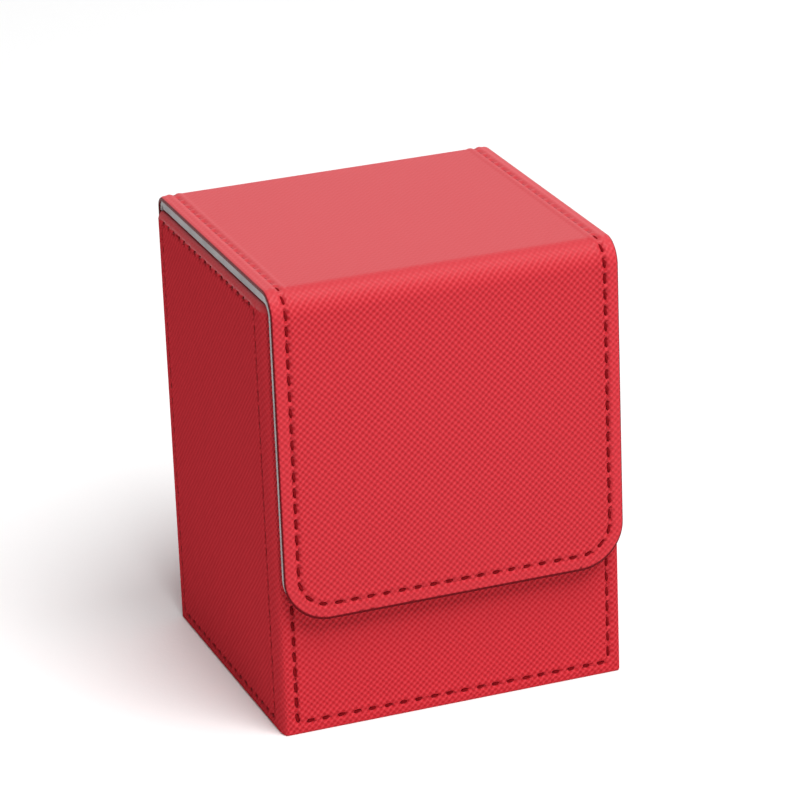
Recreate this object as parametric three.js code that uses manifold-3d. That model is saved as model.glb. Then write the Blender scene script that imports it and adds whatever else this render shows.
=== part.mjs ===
// Flip-top card deck box in red embossed leatherette. Millimetres, +Z up, the front faces -Y.
//
// A greyboard tray is covered outside with leatherette and lined inside with grey microsuede.
// One sewn strip runs up the back, over the top and down the front: it is the back cover, the
// lid and the flap, and it bends at two living hinges. Magnets in the flap and in the front
// wall hold it shut. The origin is at the middle of the footprint, on the table.
import * as THREE from 'three';
import { mergeVertices } from 'three/addons/utils/BufferGeometryUtils.js';
import Module from 'manifold-3d';

// Driving dimensions
const OVERALL_H = 100; // table to the top of the lid
const BOX_W = 78; // over the two side covers
const BOX_D = 69.6; // front cover to the back of the tray
const STRIP_W = 76.6; // width of the strip that makes back, lid and flap
const FLAP_BOTTOM_Z = 27.3;
const FLAP_CORNER_R = 10;
const FRONT_BEND_R = 5.4; // outside of the lid-to-flap bend
const REAR_BEND_R = 3; // outside of the back-to-lid bend

// Layers
const COVER_T = 0.9; // leatherette with its turned backing
const SKIVED_T = 0.4; // leatherette pared thin where it turns behind the tray
const GLUE_T = 0.1; // bond line between two layers, and the play between butted pieces
const BOARD_T = 2; // greyboard of the tray
const LINING_T = 0.7; // microsuede inside the tray and inside the rear hinge
const LINER_T = 2.2; // suede-wrapped inner layer of lid and flap
const LINER_SKIN_T = 0.6; // suede under and around the lid and flap boards

// Clearances of the closed box
const RIM_GAP = 0.2; // tray rim to lid
const FLAP_GAP = 0.7; // front wall to flap
const LINER_INSET = 0.3; // the liner stops this far inside the strip's edge

// Corners of the tray
const FRONT_CORNER_R = 1.5; // front upright edges
const REAR_CORNER_R = 1; // rear upright edges
const RIM_R = 1; // outer edge of the rim

// Sewing
const SEAM_IN = 3.1; // strip edge to stitch line
const BACK_SEAM_BOTTOM = 3;
const FRONT_SEAM = { side: 3, bottom: 2.6, top: 1.9, cornerR: 1.2 };
const SIDE_SEAM = { front: 5.6, rear: 3, bottom: 2.2, top: 1.9, cornerR: 1.2 };
const THREAD_W = 0.7;
const THREAD_T = 0.4;
const THREAD_SUNK = 0.05; // thread lies this far under the cover's face
const GROOVE_PLAY = 0.1; // thread to groove wall, on each side

// Closure magnets: a disc on each side of the front wall, and one that meets it in the flap
const MAGNET_R = 5;
const MAGNET_X = 22;
const MAGNET_Z = 42;
const WALL_MAGNET_T = 1.2;
const FLAP_MAGNET_T = 0.9;

// Fineness of round parts
const CORNER_STEPS = 6;
const BEND_STEPS = 12;
const DISC_STEPS = 40;
const OVERCUT = 1; // a cutter runs this far past the face that it opens
const OVERTURN = 0.1; // and this many radians past the ends of a bend

// Worked-out places
const BOARD_IN = COVER_T + GLUE_T;
const LINING_IN = BOARD_IN + BOARD_T + GLUE_T;
const WALL_T = LINING_IN + LINING_T;
const LAMINATE_T = BOARD_IN + LINER_T;
const FLAP_PROUD = FLAP_GAP + LAMINATE_T;
const BACK_PROUD = GLUE_T + COVER_T;
const BACK_BOARD_IN = BACK_PROUD + SKIVED_T + GLUE_T;
const BACK_LINING_IN = BACK_BOARD_IN + BOARD_T + GLUE_T;
const BACK_LIP_IN = BACK_PROUD + WALL_T;
const FRONT_Y = (FLAP_PROUD - BOX_D - BACK_PROUD) / 2;
const REAR_Y = FRONT_Y + BOX_D;
const FLAP_Y = FRONT_Y - FLAP_PROUD;
const BACK_Y = REAR_Y + BACK_PROUD;
const RIM_Z = OVERALL_H - LAMINATE_T - RIM_GAP;
const BOARD_TOP = RIM_Z - BOARD_IN;
const INNER_X = BOX_W / 2 - WALL_T;
const FRONT_BEND = { y: FLAP_Y + FRONT_BEND_R, z: OVERALL_H - FRONT_BEND_R, r: FRONT_BEND_R };
const REAR_BEND = { y: BACK_Y - REAR_BEND_R, z: OVERALL_H - REAR_BEND_R, r: REAR_BEND_R };
const SEAM_X = STRIP_W / 2 - SEAM_IN;
const GROOVE_W = THREAD_W + 2 * GROOVE_PLAY;
const GROOVE_T = THREAD_SUNK + THREAD_T + GROOVE_PLAY;
const SIDES = [{ name: 'left', sign: -1 }, { name: 'right', sign: 1 }];

const wasm = await Module();
wasm.setup();

// Materials

function leatherette() {
  return new THREE.MeshStandardMaterial({ color: 0xc62f38, roughness: 0.5, metalness: 0 });
}

function microsuede() {
  return new THREE.MeshStandardMaterial({ color: 0x9b9998, roughness: 0.95, metalness: 0 });
}

function greyboard() {
  return new THREE.MeshStandardMaterial({ color: 0x8d867b, roughness: 0.9, metalness: 0 });
}

function sewingThread() {
  return new THREE.MeshStandardMaterial({ color: 0x7a060c, roughness: 0.6, metalness: 0 });
}

function nickelPlate() {
  return new THREE.MeshStandardMaterial({ color: 0xb9b7b0, roughness: 0.3, metalness: 1 });
}

// Solids and meshes

function toSolid(geometry) {
  const bare = geometry.clone();
  bare.deleteAttribute('normal');
  bare.deleteAttribute('uv');
  const merged = mergeVertices(bare);
  return new wasm.Manifold(new wasm.Mesh({
    numProp: 3,
    vertProperties: new Float32Array(merged.attributes.position.array),
    triVerts: new Uint32Array(merged.index.array),
  }));
}

function toGeometry(solid) {
  const mesh = solid.getMesh();
  const geometry = new THREE.BufferGeometry();
  geometry.setAttribute('position', new THREE.BufferAttribute(mesh.vertProperties, 3));
  geometry.setIndex(new THREE.BufferAttribute(mesh.triVerts, 1));
  geometry.computeVertexNormals();
  return geometry;
}

function cut(geometry, ...cutters) {
  let solid = toSolid(geometry);
  for (const cutter of cutters) solid = solid.subtract(toSolid(cutter));
  return toGeometry(solid);
}

function piece(name, geometry, material) {
  const mesh = new THREE.Mesh(geometry, material);
  mesh.name = name;
  return mesh;
}

function extrude(outline, depth, steps = CORNER_STEPS) {
  return new THREE.ExtrudeGeometry(outline, { depth, bevelEnabled: false, curveSegments: steps });
}

// A rectangle whose corners take the radii [low left, low right, high right, high left].
function roundedRect(u0, u1, v0, v1, [lowLeft, lowRight, highRight, highLeft]) {
  const quarter = Math.PI / 2;
  const outline = new THREE.Shape();
  outline.moveTo(u0 + lowLeft, v0);
  outline.lineTo(u1 - lowRight, v0);
  if (lowRight) outline.absarc(u1 - lowRight, v0 + lowRight, lowRight, -quarter, 0, false);
  outline.lineTo(u1, v1 - highRight);
  if (highRight) outline.absarc(u1 - highRight, v1 - highRight, highRight, 0, quarter, false);
  outline.lineTo(u0 + highLeft, v1);
  if (highLeft) outline.absarc(u0 + highLeft, v1 - highLeft, highLeft, quarter, 2 * quarter, false);
  outline.lineTo(u0, v0 + lowLeft);
  if (lowLeft) outline.absarc(u0 + lowLeft, v0 + lowLeft, lowLeft, 2 * quarter, 3 * quarter, false);
  return outline;
}

// A panel is drawn in its own frame: u across, v up, n out, with n = 0 on its outer face.
// A layer lies under that face, from depth `from` to depth `to`.
function layer(outline, from, to) {
  return extrude(outline, to - from).translate(0, 0, -to);
}

function slab({ u0, u1, v0, v1 }, from, to) {
  return layer(roundedRect(u0, u1, v0, v1, [0, 0, 0, 0]), from, to);
}

// A layer whose upright face edges at u0 and u1 are rounded by the two radii in `uprights`.
function roundedSlab({ u0, u1, v0, v1 }, from, to, uprights) {
  const plan = extrude(roundedRect(u0, u1, from, to, [...uprights, 0, 0]), v1 - v0);
  return plan.rotateX(-Math.PI / 2).translate(0, v0, 0);
}

// The same with its top outer edge rounded too, and the top corners at the ends in `corners`.
function rimmedSlab(span, from, to, uprights, corners) {
  const { u0, u1, v0, v1 } = span;
  const profile = extrude(roundedRect(from, to, v0, v1, [0, 0, 0, RIM_R]), u1 - u0);
  profile.rotateY(Math.PI / 2).translate(u0, 0, 0);
  const [atLow, atHigh] = corners;
  const face = layer(roundedRect(u0, u1, v0, v1, [0, 0, RIM_R * atHigh, RIM_R * atLow]), from, to);
  const solid = toSolid(roundedSlab(span, from, to, uprights));
  return toGeometry(solid.intersect(toSolid(profile)).intersect(toSolid(face)));
}

// Seams. A band function draws the seam's outline for half a width and an end overrun: the
// thread takes it as it is, and the groove takes it wider, deeper and past its open ends.

function threadOf(band) {
  return layer(band(THREAD_W / 2, 0), THREAD_SUNK, THREAD_SUNK + THREAD_T);
}

function grooveOf(band) {
  return layer(band(GROOVE_W / 2, OVERCUT), -OVERCUT, GROOVE_T);
}

function ringBand({ u0, u1, v0, v1, r }) {
  return (half) => {
    const [out, inn] = [r + half, r - half];
    const band = roundedRect(u0 - half, u1 + half, v0 - half, v1 + half, [out, out, out, out]);
    band.holes.push(
      roundedRect(u0 + half, u1 - half, v0 + half, v1 - half, [inn, inn, inn, inn]));
    return band;
  };
}

function lineBand(u, v0, v1) {
  return (half, overrun) =>
    roundedRect(u - half, u + half, v0 - overrun, v1 + overrun, [0, 0, 0, 0]);
}

// Down one side, round a corner, along the bottom, round a corner and up the other side.
function cupBand(reach, v0, v1, r) {
  return (half, overrun) => {
    const quarter = Math.PI / 2;
    const band = new THREE.Shape();
    band.moveTo(-reach - half, v1 + overrun);
    band.lineTo(-reach - half, v0 + r);
    band.absarc(r - reach, v0 + r, r + half, 2 * quarter, 3 * quarter, false);
    band.absarc(reach - r, v0 + r, r + half, 3 * quarter, 4 * quarter, false);
    band.lineTo(reach + half, v1 + overrun);
    band.lineTo(reach - half, v1 + overrun);
    band.absarc(reach - r, v0 + r, r - half, 0, -quarter, true);
    band.absarc(r - reach, v0 + r, r - half, -quarter, -2 * quarter, true);
    band.lineTo(half - reach, v1 + overrun);
    return band;
  };
}

// Panels stand in groups that turn their frame to face out of the box.

function facing(turn, x, y, meshes) {
  const group = new THREE.Group();
  group.rotation.set(Math.PI / 2, 0, turn, 'ZXY');
  group.position.set(x, y, 0);
  group.add(...meshes);
  return group;
}

function disc(thickness, u, v, middle, play = 0) {
  const shape = new THREE.CylinderGeometry(MAGNET_R + play, MAGNET_R + play, thickness, DISC_STEPS);
  return shape.rotateX(Math.PI / 2).translate(u, v, -middle);
}

// Tray walls

function frontCover() {
  const half = BOX_W / 2;
  const block = rimmedSlab({ u0: -half, u1: half, v0: 0, v1: RIM_Z }, 0, WALL_T,
    [FRONT_CORNER_R, FRONT_CORNER_R], [1, 1]);
  const inner = half - COVER_T;
  const innerR = FRONT_CORNER_R - COVER_T;
  const pocket = roundedSlab({ u0: -inner, u1: inner, v0: COVER_T, v1: RIM_Z - COVER_T },
    COVER_T, WALL_T + OVERCUT, [innerR, innerR]);
  return cut(block, pocket, grooveOf(frontSeam()));
}

function frontSeam() {
  const reach = BOX_W / 2 - FRONT_SEAM.side;
  return ringBand({
    u0: -reach, u1: reach, v0: FRONT_SEAM.bottom, v1: RIM_Z - FRONT_SEAM.top, r: FRONT_SEAM.cornerR,
  });
}

function frontBoard() {
  const half = BOX_W / 2 - BOARD_IN;
  const radius = FRONT_CORNER_R - BOARD_IN;
  const board = roundedSlab({ u0: -half, u1: half, v0: BOARD_IN, v1: BOARD_TOP },
    BOARD_IN, BOARD_IN + BOARD_T, [radius, radius]);
  const pocketT = WALL_MAGNET_T + 2 * GLUE_T + OVERCUT;
  const middle = BOARD_IN - OVERCUT + pocketT / 2;
  return cut(board, ...SIDES.map(
    ({ sign }) => disc(pocketT, sign * MAGNET_X, MAGNET_Z, middle, 2 * GLUE_T)));
}

function frontWall() {
  const lining = INNER_X + LINING_T - GLUE_T;
  const meshes = [
    piece('front_cover', frontCover(), leatherette()),
    piece('front_board', frontBoard(), greyboard()),
    piece('front_lining', slab({ u0: -lining, u1: lining, v0: LINING_IN, v1: BOARD_TOP },
      LINING_IN, WALL_T), microsuede()),
    piece('front_thread', threadOf(frontSeam()), sewingThread()),
  ];
  for (const { name, sign } of SIDES) {
    const middle = BOARD_IN + GLUE_T + WALL_MAGNET_T / 2;
    meshes.push(piece(`front_magnet_${name}`,
      disc(WALL_MAGNET_T, sign * MAGNET_X, MAGNET_Z, middle), nickelPlate()));
  }
  return facing(0, 0, FRONT_Y, meshes);
}

// On the right wall u runs to the rear, and on the left wall it runs to the front.
function sideSpan(sign, front, rear, v0, v1) {
  return sign > 0 ? { u0: front, u1: rear, v0, v1 } : { u0: -rear, u1: -front, v0, v1 };
}

function rearOnly(sign, value) {
  return sign > 0 ? [0, value] : [value, 0];
}

function sideSeam(sign) {
  const span = sideSpan(sign, FRONT_Y + SIDE_SEAM.front, REAR_Y - SIDE_SEAM.rear,
    SIDE_SEAM.bottom, RIM_Z - SIDE_SEAM.top);
  return ringBand({ ...span, r: SIDE_SEAM.cornerR });
}

function sideCover(sign) {
  const front = FRONT_Y + WALL_T + GLUE_T;
  const block = rimmedSlab(sideSpan(sign, front, REAR_Y, 0, RIM_Z), 0, WALL_T,
    rearOnly(sign, REAR_CORNER_R), rearOnly(sign, 1));
  const hollow = sideSpan(sign, front - OVERCUT, REAR_Y - SKIVED_T, COVER_T, RIM_Z - COVER_T);
  return cut(block, slab(hollow, COVER_T, WALL_T + OVERCUT), grooveOf(sideSeam(sign)));
}

function sideWall({ name, sign }) {
  const boardSpan = sideSpan(sign, FRONT_Y + LINING_IN, REAR_Y - SKIVED_T - GLUE_T,
    BOARD_IN, BOARD_TOP);
  const liningSpan = sideSpan(sign, FRONT_Y + WALL_T + GLUE_T, BACK_Y - BACK_LINING_IN,
    LINING_IN, BOARD_TOP);
  return facing(sign * Math.PI / 2, sign * BOX_W / 2, 0, [
    piece(`${name}_cover`, sideCover(sign), leatherette()),
    piece(`${name}_board`, slab(boardSpan, BOARD_IN, BOARD_IN + BOARD_T), greyboard()),
    piece(`${name}_lining`, slab(liningSpan, LINING_IN, WALL_T), microsuede()),
    piece(`${name}_thread`, threadOf(sideSeam(sign)), sewingThread()),
  ]);
}

// The foot of the back cover turns under the back board.
function backCover() {
  const half = STRIP_W / 2;
  const foot = INNER_X - GLUE_T;
  const sheet = slab({ u0: -half, u1: half, v0: 0, v1: REAR_BEND.z - GLUE_T }, 0, COVER_T);
  const turn = slab({ u0: -foot, u1: foot, v0: 0, v1: COVER_T }, 0, BACK_LIP_IN);
  return cut(toGeometry(toSolid(sheet).add(toSolid(turn))), grooveOf(backSeam()));
}

function backSeam() {
  return cupBand(SEAM_X, BACK_SEAM_BOTTOM, REAR_BEND.z - 2 * GLUE_T, FRONT_SEAM.cornerR);
}

// The back lining turns over the top of the back board.
function backLining() {
  const half = INNER_X - GLUE_T;
  const sheet = slab({ u0: -half, u1: half, v0: LINING_IN, v1: RIM_Z },
    BACK_LINING_IN, BACK_LINING_IN + LINING_T);
  const turn = slab({ u0: -half, u1: half, v0: RIM_Z - LINING_T, v1: RIM_Z },
    BACK_BOARD_IN, BACK_LINING_IN + LINING_T);
  return toGeometry(toSolid(sheet).add(toSolid(turn)));
}

function backWall() {
  const half = BOX_W / 2 - LINING_IN;
  return facing(Math.PI, 0, BACK_Y, [
    piece('back_cover', backCover(), leatherette()),
    piece('back_board', slab({ u0: -half, u1: half, v0: BOARD_IN, v1: BOARD_TOP },
      BACK_BOARD_IN, BACK_BOARD_IN + BOARD_T), greyboard()),
    piece('back_lining', backLining(), microsuede()),
    piece('back_thread', threadOf(backSeam()), sewingThread()),
  ]);
}

// Base layers are drawn looking up at the base from below, so their depth counts upwards.
function base() {
  const group = new THREE.Group();
  const inner = INNER_X - GLUE_T;
  const board = BOX_W / 2 - LINING_IN;
  const front = FRONT_Y + WALL_T + GLUE_T;
  const rear = BACK_Y - BACK_LINING_IN - LINING_T - GLUE_T;
  const span = { u0: -inner, u1: inner, v0: -rear, v1: -front };
  group.rotation.x = Math.PI;
  group.add(
    piece('base_cover', slab({ ...span, v0: BACK_LIP_IN + GLUE_T - BACK_Y }, 0, COVER_T),
      leatherette()),
    piece('base_board', slab({
      u0: -board, u1: board, v0: BACK_LINING_IN - BACK_Y, v1: -FRONT_Y - LINING_IN,
    }, BOARD_IN, BOARD_IN + BOARD_T), greyboard()),
    piece('base_lining', slab(span, LINING_IN, WALL_T), microsuede()),
  );
  return group;
}

// Lid and flap: a cover, a suede tray and the board that fills it

function stripOutline(half, v0, v1, r) {
  return roundedRect(-half, half, v0, v1, [r, r, 0, 0]);
}

function linerTray(v0, v1, r) {
  const half = STRIP_W / 2 - LINER_INSET;
  const tray = layer(stripOutline(half, v0, v1, r), BOARD_IN, LAMINATE_T);
  const skin = LINER_SKIN_T;
  const pocketR = Math.max(r - skin, 0);
  const pocket = layer(stripOutline(half - skin, v0 + skin, v1 - skin, pocketR),
    BOARD_IN - OVERCUT, LAMINATE_T - skin);
  return cut(tray, pocket);
}

function linerBoard(v0, v1, r) {
  const inset = LINER_SKIN_T + GLUE_T;
  const half = STRIP_W / 2 - LINER_INSET - inset;
  return layer(stripOutline(half, v0 + inset, v1 - inset, Math.max(r - inset, 0)),
    BOARD_IN + GLUE_T, LAMINATE_T - inset);
}

function lid() {
  const group = new THREE.Group();
  const v0 = FRONT_BEND.y + GLUE_T;
  const v1 = REAR_BEND.y - GLUE_T;
  const seams = SIDES.map(({ name, sign }) => (
    { name, band: lineBand(sign * SEAM_X, v0 + GLUE_T, v1 - GLUE_T) }));
  const cover = layer(stripOutline(STRIP_W / 2, v0, v1, 0), 0, COVER_T);
  group.position.z = OVERALL_H;
  group.add(
    piece('lid_cover', cut(cover, ...seams.map(({ band }) => grooveOf(band))), leatherette()),
    piece('lid_lining', linerTray(v0, v1, 0), microsuede()),
    piece('lid_board', linerBoard(v0, v1, 0), greyboard()),
    ...seams.map(({ name, band }) => piece(`lid_thread_${name}`, threadOf(band), sewingThread())),
  );
  return group;
}

function flap() {
  const v1 = FRONT_BEND.z - GLUE_T;
  const linerV0 = FLAP_BOTTOM_Z + LINER_INSET;
  const linerR = FLAP_CORNER_R - LINER_INSET;
  const seam = cupBand(SEAM_X, FLAP_BOTTOM_Z + SEAM_IN, v1 - GLUE_T, FLAP_CORNER_R - SEAM_IN);
  const cover = layer(stripOutline(STRIP_W / 2, FLAP_BOTTOM_Z, v1, FLAP_CORNER_R), 0, COVER_T);
  const boardBack = LAMINATE_T - LINER_SKIN_T - GLUE_T;
  const pocketT = FLAP_MAGNET_T + 2 * GLUE_T + OVERCUT;
  const pockets = SIDES.map(({ sign }) => (
    disc(pocketT, sign * MAGNET_X, MAGNET_Z, boardBack + OVERCUT - pocketT / 2, 2 * GLUE_T)));
  const magnetMiddle = boardBack - GLUE_T - FLAP_MAGNET_T / 2;
  return facing(0, 0, FLAP_Y, [
    piece('flap_cover', cut(cover, grooveOf(seam)), leatherette()),
    piece('flap_lining', linerTray(linerV0, v1, linerR), microsuede()),
    piece('flap_board', cut(linerBoard(linerV0, v1, linerR), ...pockets), greyboard()),
    piece('flap_thread', threadOf(seam), sewingThread()),
    ...SIDES.map(({ name, sign }) => piece(`flap_magnet_${name}`,
      disc(FLAP_MAGNET_T, sign * MAGNET_X, MAGNET_Z, magnetMiddle), nickelPlate())),
  ]);
}

// Living hinges: quarter rings about the bend's centre line, drawn along X. An overrun, in
// radians, takes a cutter past both ends of the bend.

function quarterRing(start, inner, outer, width, x = 0, overrun = 0) {
  const from = start - overrun;
  const to = start + Math.PI / 2 + overrun;
  const ring = new THREE.Shape();
  ring.absarc(0, 0, outer, from, to, false);
  ring.absarc(0, 0, inner, to, from, true);
  const bent = extrude(ring, width, BEND_STEPS).translate(0, 0, x - width / 2);
  return bent.rotateX(Math.PI / 2).rotateZ(Math.PI / 2);
}

function hinge(name, bend, start, liningT) {
  const group = new THREE.Group();
  const liningR = bend.r - BOARD_IN;
  const grooves = SIDES.map(({ sign }) => (
    quarterRing(start, bend.r - GROOVE_T, bend.r + OVERCUT, GROOVE_W, sign * SEAM_X, OVERTURN)));
  const threadR = bend.r - THREAD_SUNK;
  group.position.set(0, bend.y, bend.z);
  group.add(
    piece(`${name}_hinge_cover`,
      cut(quarterRing(start, bend.r - COVER_T, bend.r, STRIP_W), ...grooves), leatherette()),
    piece(`${name}_hinge_lining`,
      quarterRing(start, liningR - liningT, liningR, STRIP_W - 2 * LINER_INSET), microsuede()),
    ...SIDES.map((side) => piece(`${name}_hinge_thread_${side.name}`,
      quarterRing(start, threadR - THREAD_T, threadR, THREAD_W, side.sign * SEAM_X),
      sewingThread())),
  );
  return group;
}

const group = new THREE.Group();
group.add(frontWall(), ...SIDES.map(sideWall), backWall(), base());
group.add(hinge('rear', REAR_BEND, 0, LINING_T), lid());
group.add(hinge('front', FRONT_BEND, Math.PI / 2, LINER_T), flap());

export default group;
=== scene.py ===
"""Flip-top card deck box in red embossed leatherette, lined with grey microsuede.

A stiff tray is wrapped outside in leatherette. One sewn strip makes its back, its lid and its
flap, and bends at two living hinges. Metres, +Z up, the front faces -Y.
"""
import math

import bmesh
import bpy
from mathutils import Matrix, Vector


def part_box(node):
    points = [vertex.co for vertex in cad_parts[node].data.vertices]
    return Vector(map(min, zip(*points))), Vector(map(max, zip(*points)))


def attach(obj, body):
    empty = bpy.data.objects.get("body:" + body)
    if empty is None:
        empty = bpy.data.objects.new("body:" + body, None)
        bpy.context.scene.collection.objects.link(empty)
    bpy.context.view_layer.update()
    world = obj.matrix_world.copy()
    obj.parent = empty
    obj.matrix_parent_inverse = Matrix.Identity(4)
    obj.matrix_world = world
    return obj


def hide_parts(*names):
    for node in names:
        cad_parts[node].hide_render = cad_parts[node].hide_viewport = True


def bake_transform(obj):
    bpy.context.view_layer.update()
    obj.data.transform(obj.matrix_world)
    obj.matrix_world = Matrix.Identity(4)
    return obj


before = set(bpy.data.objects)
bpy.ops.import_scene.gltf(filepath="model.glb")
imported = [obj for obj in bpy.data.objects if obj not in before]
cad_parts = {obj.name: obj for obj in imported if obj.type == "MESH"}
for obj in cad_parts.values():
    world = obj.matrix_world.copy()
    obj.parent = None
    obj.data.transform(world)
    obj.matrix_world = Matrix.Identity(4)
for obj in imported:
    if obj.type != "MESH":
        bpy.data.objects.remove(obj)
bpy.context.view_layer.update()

MM = 0.001
QUARTER = math.pi / 2


def low(node):
    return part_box(node)[0]


def high(node):
    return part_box(node)[1]


# Places and sizes that the frame gives
TRAY_HALF = high("front_cover").x
FRONT_Y = low("front_cover").y
REAR_Y = high("left_cover").y
RIM_Z = high("front_cover").z
WALL_T = high("front_cover").y - FRONT_Y
STRIP_HALF = high("lid_cover").x
LINER_HALF = high("lid_lining").x
TOP_Z = high("lid_cover").z
FLAP_Y = low("flap_cover").y
FLAP_HEM = 0.4 * MM  # the leather hangs this far past its CAD sheet
FLAP_BOTTOM = low("flap_cover").z - FLAP_HEM
BACK_Y = high("back_cover").y
COVER_T = TOP_Z - low("lid_cover").z
LINER_OUT = TOP_Z - high("lid_lining").z
LINER_IN = TOP_Z - low("lid_lining").z
LINER_INSET = STRIP_HALF - LINER_HALF
FRONT_R = TOP_Z - low("front_hinge_cover").z
REAR_R = TOP_Z - low("rear_hinge_cover").z
FRONT_AXIS = Vector((0, FLAP_Y + FRONT_R, TOP_Z - FRONT_R))
REAR_AXIS = Vector((0, BACK_Y - REAR_R, TOP_Z - REAR_R))

# Thread and stitches
THREAD_W = 0.64 * MM
STITCH_PITCH = 3.55 * MM
STITCH_UP = 2.7 * MM  # length of a stitch that runs up or down
STITCH_ACROSS = 2.0 * MM  # and of one that runs across
STITCH_SLANT = math.radians(9)
STITCH_DEPTH = 0.58 * MM  # the thread pulls the sheet in this far
GAP_DEPTH = -0.12 * MM  # and between two stitches it stands up a little
LID_SHALLOWER = 0.62  # on the tight lid they sink less, by this share
GROOVE_HALF = 0.44 * MM
PUFF = 0.15 * MM  # swelling of the sheet on both sides of a stitch line
PUFF_OUT = 1.1 * MM  # its crest stands this far from the line
PUFF_HALF = 0.9 * MM  # and it ends this far to either side of its crest
THREAD_LIFT = -0.34 * MM  # height of a stitch's middle above the sheet's outer face
TIGHT_LIFT = -0.43 * MM  # the same on the lid and the rear bend
INNER_LIFT = -LINER_IN + 0.1 * MM  # and on the suede, under the flap and the lid

# Edges and corners of the leatherette
ROLL_IN = 0.75 * MM  # a sewn edge rolls over this width
ROLL_DROP = 0.35 * MM
ROLL_POWER = 1.35  # 2 would make the roll an ellipse and 1 a chamfer
EDGE_SHADE_SIDE = 0.3 * MM  # width of the painted shade on the cut edge
EDGE_SHADE_END = 0.8 * MM  # and at the flap's end, where the shade under the flap falls
FLAP_CORNER_R = 10 * MM
FOOT_CORNER_R = 1.5 * MM
CORNER_X = 1.0 * MM  # the front corners round off this much across
CORNER_Y = 3.0 * MM  # and this much towards the rear, where the wrap stands off the board
CORNER_RUN = 3.34 * MM  # length of that quarter of an ellipse
REAR_CORNER_R = 1.2 * MM
RIM_RISE = 1.7 * MM  # the rim's outer edge rounds off over this height
INNER_RIM_R = 1 * MM
INNER_CORNER_R = 0.3 * MM
FOOT_R = 0.45 * MM
WRAP_T = 0.7 * MM
REAR_FLANGE_RUN = 1.9 * MM  # the wrap ends this far round its rear corner
SEAM_CORNER_R = 1.2 * MM

# Suede
LINER_ROLL = 0.45 * MM  # a cut edge of the liner rounds off this much
SKIN_T = 0.7 * MM  # on the back and in the rear bend
TRAY_SKIN_T = 0.6 * MM
TRAY_SKIN_R = 1.2 * MM
BACK_TOP_R = 0.9 * MM
LID_END_EXTRA = 1.28 * MM  # the rear bend's suede is this much thicker where it meets the lid's

# Fineness
STEP = 0.5 * MM
BEND_STEP = 0.25 * MM
BLANK_STEP = 6 * MM
FLAT_RUN = 0.5 * MM  # a hinge piece runs this far past its bend
BESIDE_SEAM = [offset * MM for offset in (0, 0.16, 0.32, 0.48, 0.66, 0.9, 1.2, 1.5, 1.75, 2, 2.3)]
ROLL_STEPS = 9
WRAP_STEP = 0.56 * MM  # the wrap is grained all over, so fewer lines show
WRAP_BESIDE_SEAM = [offset * MM for offset in (0, 0.16, 0.34, 0.54, 0.8, 1.2, 1.6, 2)]
WRAP_ROLL_STEPS = 6
LEVEL_AREA = 4 * MM * MM  # only a face joined from many level cells is larger than this


# ---------------------------------------------------------------- the strip, laid flat

FLAP_END = FRONT_AXIS.z - FLAP_BOTTOM
LID_START = FLAP_END + FRONT_R * QUARTER
LID_END = LID_START + REAR_AXIS.y - FRONT_AXIS.y
BACK_START = LID_END + REAR_R * QUARTER
FOOT = BACK_START + REAR_AXIS.z


def on_strip(x, s, n):
    """Where a point of the strip is when the box is shut. x runs across, s up the flap, over the
    lid and down the back, and n out of the outer face."""
    if s <= FLAP_END:
        return Vector((x, FLAP_Y - n, FLAP_BOTTOM + s))
    if s <= LID_START:
        turn, reach = (s - FLAP_END) / FRONT_R, FRONT_R + n
        return FRONT_AXIS + Vector((x, -reach * math.cos(turn), reach * math.sin(turn)))
    if s <= LID_END:
        return Vector((x, FRONT_AXIS.y + s - LID_START, TOP_Z + n))
    if s <= BACK_START:
        turn, reach = (s - LID_END) / REAR_R, REAR_R + n
        return REAR_AXIS + Vector((x, reach * math.sin(turn), reach * math.cos(turn)))
    return Vector((x, BACK_Y + n, REAR_AXIS.z - (s - BACK_START)))


# ---------------------------------------------------------------- the tray's wrap, laid flat

FRONT_RUN = TRAY_HALF - CORNER_X
SIDE_START = FRONT_RUN + CORNER_RUN
SIDE_RUN = REAR_Y - REAR_CORNER_R - (FRONT_Y + CORNER_Y)
REAR_TURN = SIDE_START + SIDE_RUN
REAR_FLANGE = REAR_TURN + REAR_CORNER_R * QUARTER
RIM_START = RIM_Z - RIM_RISE


def round_tray(t, depth):
    """Where a point is in plan. t runs round the outside from the middle of the front, and depth
    goes into the wall. Past a corner's radius the lines close up towards the sharper inner one."""
    side, t, share = math.copysign(1, t), abs(t), depth / WALL_T
    inner_x, inner_y = TRAY_HALF - WALL_T, FRONT_Y + WALL_T
    inner_run = inner_x - INNER_CORNER_R
    if t <= FRONT_RUN:
        x, y = t * (1 + (inner_run / FRONT_RUN - 1) * share), FRONT_Y + depth
    elif t <= SIDE_START:
        turn = (t - FRONT_RUN) / CORNER_RUN * QUARTER
        ahead = Vector((math.sin(turn), -math.cos(turn)))
        outer = Vector((FRONT_RUN, FRONT_Y + CORNER_Y))
        outer += Vector((CORNER_X * ahead.x, CORNER_Y * ahead.y))
        inner = Vector((inner_run, inner_y + INNER_CORNER_R)) + INNER_CORNER_R * ahead
        x, y = outer.lerp(inner, share)
    elif t <= REAR_TURN:
        along = (t - SIDE_START) / SIDE_RUN
        rear = REAR_Y - REAR_CORNER_R
        outer_y = FRONT_Y + CORNER_Y
        begin = outer_y + (inner_y + INNER_CORNER_R - outer_y) * share
        x, y = TRAY_HALF - depth, begin + (rear - begin) * along
    elif t <= REAR_FLANGE:
        turn, reach = (t - REAR_TURN) / REAR_CORNER_R, REAR_CORNER_R - depth
        x = TRAY_HALF - REAR_CORNER_R + reach * math.cos(turn)
        y = REAR_Y - REAR_CORNER_R + reach * math.sin(turn)
    else:
        x, y = TRAY_HALF - REAR_CORNER_R - (t - REAR_FLANGE), REAR_Y - depth
    return side * x, y


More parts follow.
